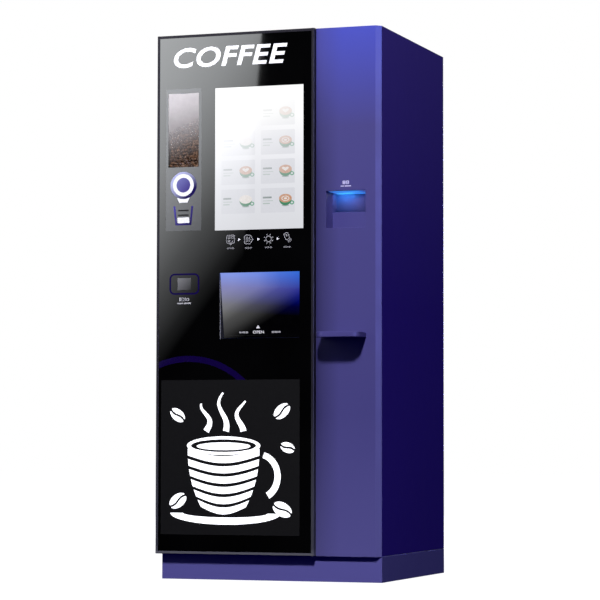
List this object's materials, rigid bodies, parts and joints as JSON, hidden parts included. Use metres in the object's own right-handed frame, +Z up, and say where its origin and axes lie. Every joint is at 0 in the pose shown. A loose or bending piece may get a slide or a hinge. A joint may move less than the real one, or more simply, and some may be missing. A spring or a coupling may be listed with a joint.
{
  "type": "hot coffee vending machine",
  "caption": "Floor-standing bean-to-cup drinks vending machine with a glass touchscreen door, lift-up pick-up flap, lid recess and side shelf.",
  "frame": {"origin": "on the floor, under the middle of the machine's bounding box", "axes": "+Z up, door and column face -Y, column with the lid recess at +X"},
  "size_m": [0.786, 0.834, 1.83],
  "materials": {
    "painted_panel": "satin powder coat, violet blue",
    "zinc_sheet": "satin grey",
    "door_alloy": "dark anodised",
    "black_glass": "black back-printed glass, polished",
    "door_sheet": "satin dark grey",
    "screen": "lit screen",
    "scanner": "smoked window",
    "clear_lens": "clear",
    "smoked_flap": "smoked acrylic",
    "bean_plastic": "dark moulded",
    "black_plastic": "fine texture",
    "rubber": "soft black",
    "steel": "brushed",
    "magnet_case": "satin",
    "chamber_liner": "smooth moulded",
    "clear_plastic": "natural moulded",
    "white_plastic": "moulded",
    "waste_plastic": "textured",
    "control_case": "satin",
    "foot": "ribbed pad"
  },
  "bodies": {
    "cabinet": {"left_side_panel": "painted_panel", "right_side_panel": "painted_panel", "rear_panel": "zinc_sheet", "roof_panel": "painted_panel", "floor_pan": "zinc_sheet", "kick_plates": "painted_panel", "levelling_feet": "foot", "bay_partition": "zinc_sheet", "upper_deck": "zinc_sheet", "lower_deck": "zinc_sheet", "column_cover": "painted_panel", "recess_liner": "painted_panel", "side_shelf": "painted_panel", "cabinet_hinge_leaves": "steel", "hinge_pins": "steel", "door_magnets": "magnet_case", "pickup_chamber": "chamber_liner", "drip_tray": "steel", "drip_grid": "steel", "bean_hopper": "bean_plastic", "grinder_housing": "black_plastic", "brewer_frame": "zinc_sheet", "brew_cylinder": "steel", "boiler": "steel", "water_pump": "black_plastic", "hot_water_pipe": "steel", "powder_canisters": "clear_plastic", "mixing_bowls": "clear_plastic", "auger_drives": "zinc_sheet", "cup_drop_tube": "clear_plastic", "turret_motor": "black_plastic", "water_tank": "white_plastic", "waste_bin": "waste_plastic", "fan_frame": "black_plastic", "power_inlet": "black_plastic", "control_box": "control_case", "rear_screws": "steel"},
    "door": {"door_left_rail": "door_alloy", "door_right_rail": "door_alloy", "door_top_rail": "door_alloy", "door_bottom_rail": "door_alloy", "door_glass": "black_glass", "door_back_panel": "door_sheet", "display_module": "screen", "scanner_module": "scanner", "bean_window": "clear_lens", "bean_box": "bean_plastic", "door_gasket": "rubber", "door_hinge_leaves": "steel", "armature_plates": "steel", "flap_axle": "steel"},
    "flap": {"pickup_flap": "smoked_flap"},
    "turret": {"cup_turret": "clear_plastic"},
    "fan_wheel": {"fan_rotor": "black_plastic"},
    "spout": {"spout_arm": "white_plastic"},
    "piston": {"brew_piston": "steel"},
    "auger_left": {"left_auger": "white_plastic"},
    "auger_right": {"right_auger": "white_plastic"},
    "burr": {"grinder_burr": "steel"},
    "bean_lid": {"hopper_lid": "black_plastic"}
  },
  "joints": [
    {"name": "door_hinge", "type": "hinge", "parent": "cabinet", "child": "door", "pos_m": [-0.3885, -0.299, 0.95], "axis": [0, 0, -1], "range_deg": [0, 115]},
    {"name": "flap_hinge", "type": "hinge", "parent": "door", "child": "flap", "pos_m": [-0.024, -0.329, 1.027], "axis": [1, 0, 0], "range_deg": [0, 62]},
    {"name": "turret_spin", "type": "hinge", "parent": "cabinet", "child": "turret", "pos_m": [0.043, -0.155, 1.2], "axis": [0, 0, 1], "continuous": true},
    {"name": "fan_spin", "type": "hinge", "parent": "cabinet", "child": "fan_wheel", "pos_m": [0.278, 0.395, 1.56], "axis": [0, 1, 0], "continuous": true},
    {"name": "spout_swing", "type": "hinge", "parent": "cabinet", "child": "spout", "pos_m": [-0.112, -0.155, 1.03], "axis": [0, 0, -1], "range_deg": [0, 90]},
    {"name": "piston_lift", "type": "slide", "parent": "cabinet", "child": "piston", "axis": [0, 0, 1], "range_m": [0, 0.06]},
    {"name": "left_auger_spin", "type": "hinge", "parent": "cabinet", "child": "auger_left", "pos_m": [-0.191, -0.155, 1.41], "axis": [0, 1, 0], "continuous": true},
    {"name": "right_auger_spin", "type": "hinge", "parent": "cabinet", "child": "auger_right", "pos_m": [-0.117, -0.155, 1.41], "axis": [0, 1, 0], "continuous": true},
    {"name": "burr_spin", "type": "hinge", "parent": "cabinet", "child": "burr", "pos_m": [-0.296, -0.205, 1.23], "axis": [0, 0, 1], "continuous": true},
    {"name": "hopper_lid_hinge", "type": "hinge", "parent": "cabinet", "child": "bean_lid", "pos_m": [-0.296, -0.113, 1.6273], "axis": [-1, 0, 0], "range_deg": [0, 75]}
  ]
}
